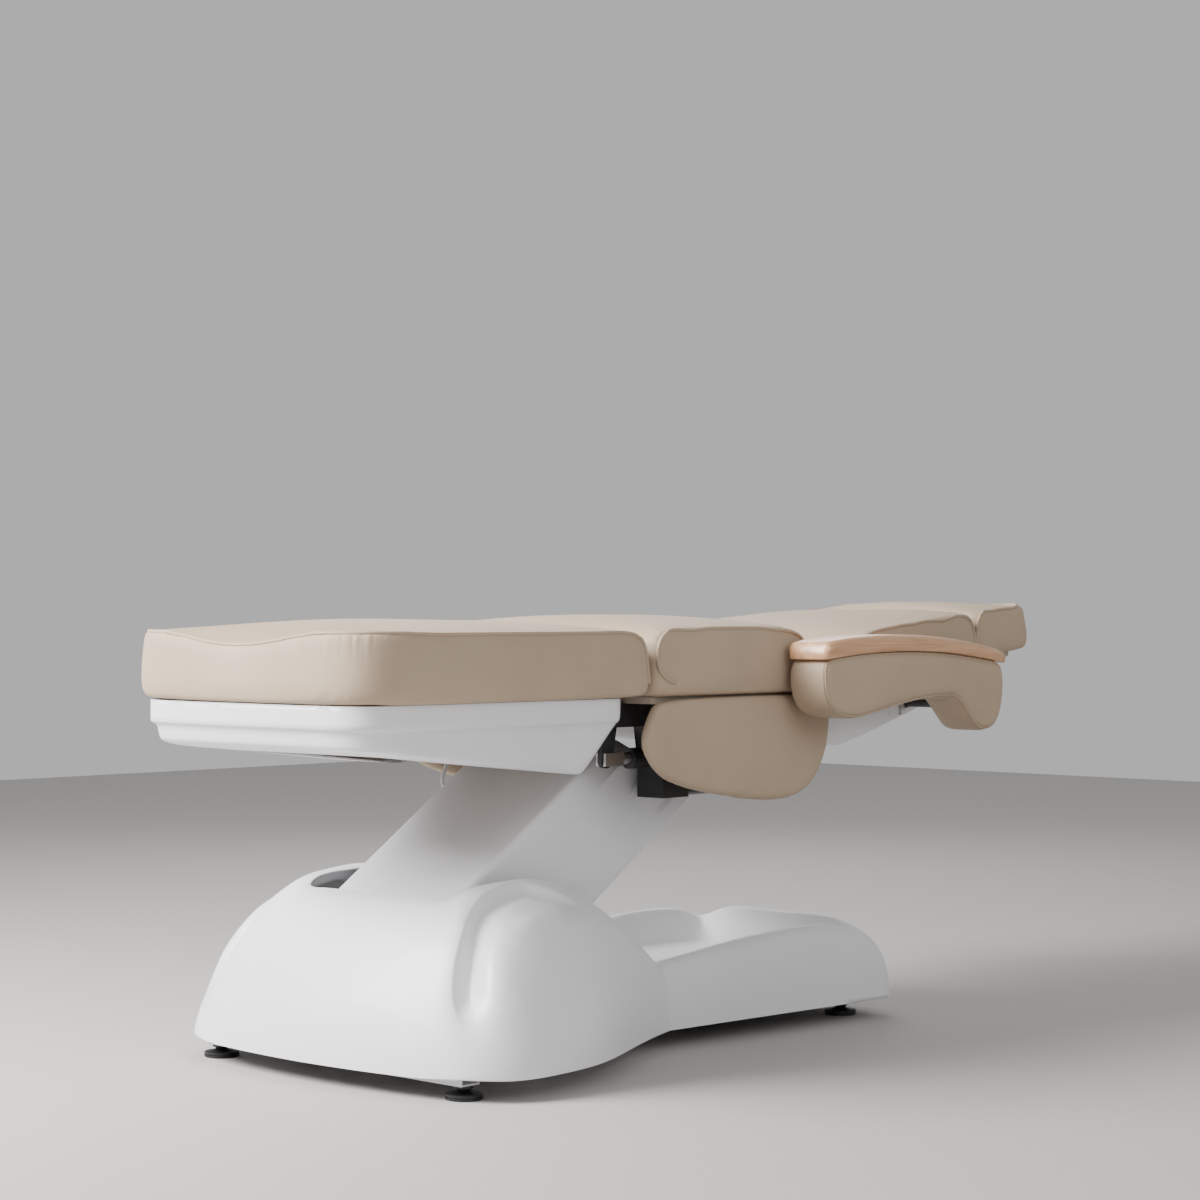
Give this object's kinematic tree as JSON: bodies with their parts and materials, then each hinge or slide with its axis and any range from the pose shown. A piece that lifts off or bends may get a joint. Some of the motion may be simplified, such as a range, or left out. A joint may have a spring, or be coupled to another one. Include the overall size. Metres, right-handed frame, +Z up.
{
  "type": "electric beauty bed",
  "caption": "Electric beauty bed: leg, seat, back and head cushions with swinging wood-capped armrests, carried on an inclined motor-driven lift arm over a moulded white base.",
  "frame": {"origin": "on the floor under the middle of the bed's bounding box", "axes": "+X from the foot end to the head end, +Y to the right side of someone lying on the bed, +Z up"},
  "size_m": [1.8612, 0.84, 0.7786],
  "materials": {
    "leatherette": "satin, fine grain",
    "white_abs": "satin",
    "white_steel": "satin powder coat",
    "dark_steel": "matte powder coat",
    "bright_steel": "turned",
    "oak": "satin lacquer",
    "plywood": "raw",
    "black_plastic": "matte",
    "grey_plastic": "ribbed"
  },
  "bodies": {
    "base": {"base_cover": "white_abs", "foot_cross_tube": "white_steel", "tail_cross_tube": "white_steel", "motor_cross_tube": "white_steel", "left_base_rail": "white_steel", "right_base_rail": "white_steel", "left_pivot_plate": "white_steel", "right_pivot_plate": "white_steel", "lift_motor": "black_plastic", "control_box": "black_plastic", "power_inlet": "black_plastic"},
    "left_foot_end": {"left_foot_end_foot": "black_plastic"},
    "right_foot_end": {"right_foot_end_foot": "black_plastic"},
    "left_tail_end": {"left_tail_end_foot": "black_plastic"},
    "right_tail_end": {"right_tail_end_foot": "black_plastic"},
    "lift_arm": {"arm_cover": "white_steel", "left_arm_beam": "dark_steel", "right_arm_beam": "dark_steel", "lower_pivot_shaft": "bright_steel", "upper_pivot_shaft": "bright_steel", "lift_crank": "dark_steel"},
    "link": {"level_link": "dark_steel"},
    "lift_drive": {"lift_rod": "bright_steel"},
    "top_frame": {"left_seat_plate": "dark_steel", "right_seat_plate": "dark_steel", "front_cross_tube": "dark_steel", "rear_cross_tube": "dark_steel", "left_upper_plate": "dark_steel", "right_upper_plate": "dark_steel", "link_hanger": "dark_steel", "leg_hinge_rod": "bright_steel", "back_hinge_rod": "bright_steel", "seat_board": "plywood", "seat_cushion": "leatherette", "left_apron": "leatherette", "right_apron": "leatherette", "back_motor": "black_plastic", "leg_motor": "black_plastic", "motor_lead": "grey_plastic"},
    "back_drive": {"back_rod": "bright_steel"},
    "leg_drive": {"leg_rod": "bright_steel"},
    "leg_section": {"left_leg_plate": "dark_steel", "right_leg_plate": "dark_steel", "leg_board": "plywood", "leg_shell": "white_abs", "leg_cushion": "leatherette"},
    "back_section": {"left_back_plate": "dark_steel", "right_back_plate": "dark_steel", "back_board": "plywood", "back_shell": "white_abs", "back_cushion": "leatherette", "left_armrest_spindle": "dark_steel", "right_armrest_spindle": "dark_steel", "head_hinge_rod": "bright_steel"},
    "head_section": {"head_board": "plywood", "head_cushion": "leatherette"},
    "left_armrest": {"left_armrest_body": "leatherette", "left_armrest_cap": "oak"},
    "right_armrest": {"right_armrest_body": "leatherette", "right_armrest_cap": "oak"}
  },
  "joints": [
    {"name": "lift", "type": "hinge", "parent": "base", "child": "lift_arm", "pos_m": [-0.5105, 0, 0.187], "axis": [0, -1, 0], "range_deg": [-13, 28]},
    {"name": "top_level", "type": "hinge", "parent": "lift_arm", "child": "top_frame", "pos_m": [-0.1245, 0, 0.485], "axis": [0, -1, 0], "range_deg": [-28, 13]},
    {"name": "link_swing", "type": "hinge", "parent": "base", "child": "link", "pos_m": [-0.4625, -0.1035, 0.1295], "axis": [0, -1, 0], "range_deg": [-13, 28]},
    {"name": "lift_rod_slide", "type": "slide", "parent": "base", "child": "lift_drive", "axis": [1, 0, 0], "range_m": [-0.0236, 0.0508]},
    {"name": "back_recline", "type": "hinge", "parent": "top_frame", "child": "back_section", "pos_m": [0.1475, 0, 0.604], "axis": [0, -1, 0], "range_deg": [-5, 52]},
    {"name": "back_rod_slide", "type": "slide", "parent": "top_frame", "child": "back_drive", "axis": [1, 0, 0], "range_m": [-0.0095, 0.0979]},
    {"name": "leg_drop", "type": "hinge", "parent": "top_frame", "child": "leg_section", "pos_m": [-0.2775, 0, 0.5847], "axis": [0, -1, 0], "range_deg": [0, 15]},
    {"name": "leg_rod_slide", "type": "slide", "parent": "top_frame", "child": "leg_drive", "axis": [1, 0, 0], "range_m": [0, 0.0199]},
    {"name": "head_tilt", "type": "hinge", "parent": "back_section", "child": "head_section", "pos_m": [0.75172, 0, 0.65084], "axis": [0, -1, 0], "range_deg": [-30, 6]},
    {"name": "left_armrest_swing", "type": "hinge", "parent": "back_section", "child": "left_armrest", "pos_m": [0.49909, -0.35, 0.58959], "axis": [0, -1, 0], "range_deg": [-52, 85]},
    {"name": "right_armrest_swing", "type": "hinge", "parent": "back_section", "child": "right_armrest", "pos_m": [0.49909, 0.35, 0.58959], "axis": [0, -1, 0], "range_deg": [-52, 85]},
    {"name": "left_foot_end_screw", "type": "hinge", "parent": "base", "child": "left_foot_end", "pos_m": [-0.7095, -0.3, 0], "axis": [0, 0, 1], "continuous": true},
    {"name": "right_foot_end_screw", "type": "hinge", "parent": "base", "child": "right_foot_end", "pos_m": [-0.7095, 0.3, 0], "axis": [0, 0, 1], "continuous": true},
    {"name": "left_tail_end_screw", "type": "hinge", "parent": "base", "child": "left_tail_end", "pos_m": [0.4055, -0.162, 0], "axis": [0, 0, 1], "continuous": true},
    {"name": "right_tail_end_screw", "type": "hinge", "parent": "base", "child": "right_tail_end", "pos_m": [0.4055, 0.162, 0], "axis": [0, 0, 1], "continuous": true}
  ],
  "couplings": [
    {"joint": "top_level", "follows": "lift", "ratio": -1},
    {"joint": "link_swing", "follows": "lift", "ratio": 1},
    {"joint": "lift_rod_slide", "follows": "lift", "m_per_rad": 0.1035},
    {"joint": "back_rod_slide", "follows": "back_recline", "m_per_rad": 0.1077},
    {"joint": "leg_rod_slide", "follows": "leg_drop", "m_per_rad": 0.0754}
  ]
}
